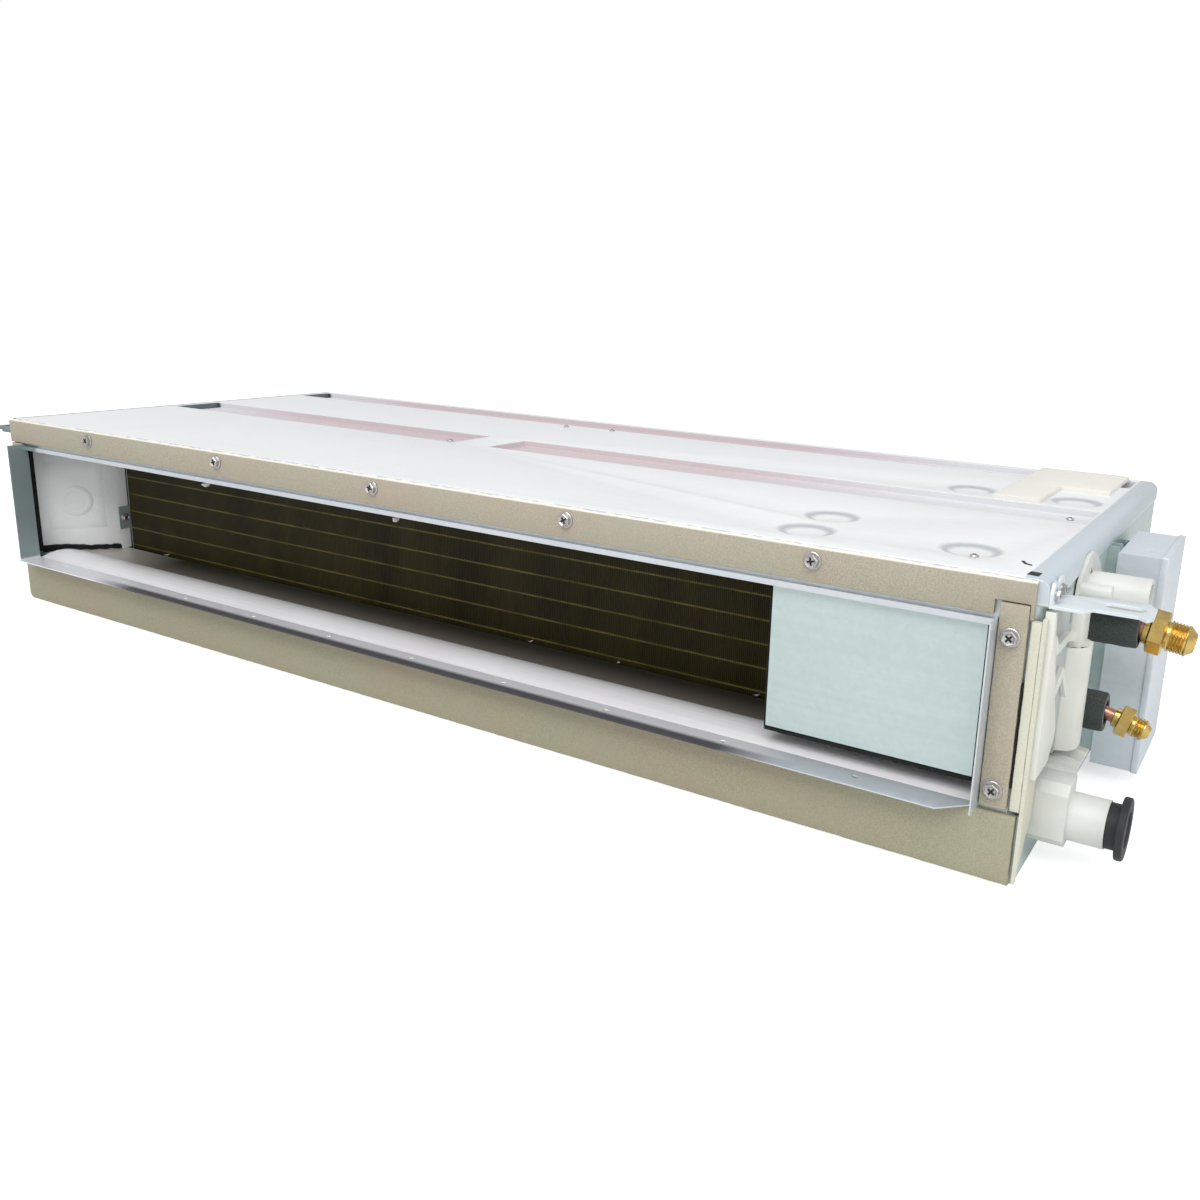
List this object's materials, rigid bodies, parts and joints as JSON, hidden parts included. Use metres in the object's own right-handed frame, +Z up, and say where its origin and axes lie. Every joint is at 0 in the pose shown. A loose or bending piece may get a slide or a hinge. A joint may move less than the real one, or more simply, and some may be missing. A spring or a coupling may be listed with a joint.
{
  "type": "ducted air conditioner indoor unit",
  "caption": "Slim box-shaped ducted air conditioner indoor unit with a wide front outlet, coil, fans, filter, hangers, pipe unions, drain and control box.",
  "frame": {"origin": "centre of the casing's underside", "axes": "+X towards the pipe side, +Y from the outlet to the intake, +Z up"},
  "size_m": [1.2295, 0.519, 0.204],
  "materials": {
    "galvanised": "satin, with a faint zinc spangle",
    "tan_foam": "matt closed-cell foam",
    "green_foam": "matt closed-cell foam",
    "white_foam": "matt bead foam",
    "fin": "dark coated fins",
    "copper": "satin copper",
    "brass": "machined",
    "dark_sleeve": "matt foam tube",
    "white_plastic": "moulded, slightly glossy",
    "black_rubber": "matt",
    "steel": "bright zinc",
    "grey_paint": "satin",
    "black_plastic": "matt",
    "board": "lacquered board"
  },
  "bodies": {
    "casing": {"base_panel": "galvanised", "top_panel": "galvanised", "left_side_panel": "galvanised", "right_side_panel": "galvanised", "rear_panel": "galvanised", "outlet_collar": "galvanised", "outlet_sill": "galvanised", "blanking_plate": "galvanised", "fan_partition": "galvanised", "left_coil_plate": "galvanised", "right_coil_plate": "galvanised", "pump_bracket": "galvanised", "motor_bracket": "galvanised", "control_box": "galvanised", "control_box_cover": "galvanised", "control_box_bracket": "galvanised", "front_hanger_right": "galvanised", "front_hanger_left": "galvanised", "rear_hanger_right": "galvanised", "rear_hanger_left": "galvanised", "top_foam_band": "tan_foam", "lower_foam_panel": "tan_foam", "corner_foam_strips": "tan_foam", "top_foam_pad": "tan_foam", "right_side_foam": "green_foam", "left_foam_guide": "white_foam", "drain_pan": "white_foam", "coil_fins": "fin", "coil_tubes": "copper", "return_bends": "copper", "gas_header": "copper", "liquid_header": "copper", "gas_pipe": "copper", "liquid_pipe": "copper", "gas_fitting": "brass", "liquid_fitting": "brass", "gas_sleeve": "dark_sleeve", "liquid_sleeve": "dark_sleeve", "pipe_cover": "white_plastic", "drip_shelf": "white_plastic", "drain_socket": "white_plastic", "drain_pump": "white_plastic", "pump_outlet_pipe": "white_plastic", "float_switch": "white_plastic", "fan_housing_lower": "white_plastic", "fan_housing_upper": "white_plastic", "cable_grommets": "black_rubber", "shaft_bearing": "steel", "fan_motor": "grey_paint", "circuit_board": "board"},
    "fan": {"motor_shaft": "steel", "extension_shaft": "steel", "shaft_coupling": "steel", "fan_wheel_1": "black_plastic", "fan_wheel_2": "black_plastic", "fan_wheel_3": "black_plastic"},
    "plug": {"drain_plug": "black_rubber"},
    "filter": {"air_filter": "black_plastic"},
    "float": {"switch_float": "white_plastic"}
  },
  "joints": [
    {"name": "fan_spin", "type": "hinge", "parent": "casing", "child": "fan", "pos_m": [0, 0.097, 0.10637], "axis": [1, 0, 0], "continuous": true},
    {"name": "drain_plug_pull", "type": "slide", "parent": "casing", "child": "plug", "axis": [1, 0, 0], "range_m": [0, 0.03]},
    {"name": "filter_slide", "type": "slide", "parent": "casing", "child": "filter", "axis": [-1, 0, 0], "range_m": [0, 1.08]},
    {"name": "float_rise", "type": "slide", "parent": "casing", "child": "float", "axis": [0, 0, 1], "range_m": [0, 0.015]}
  ]
}
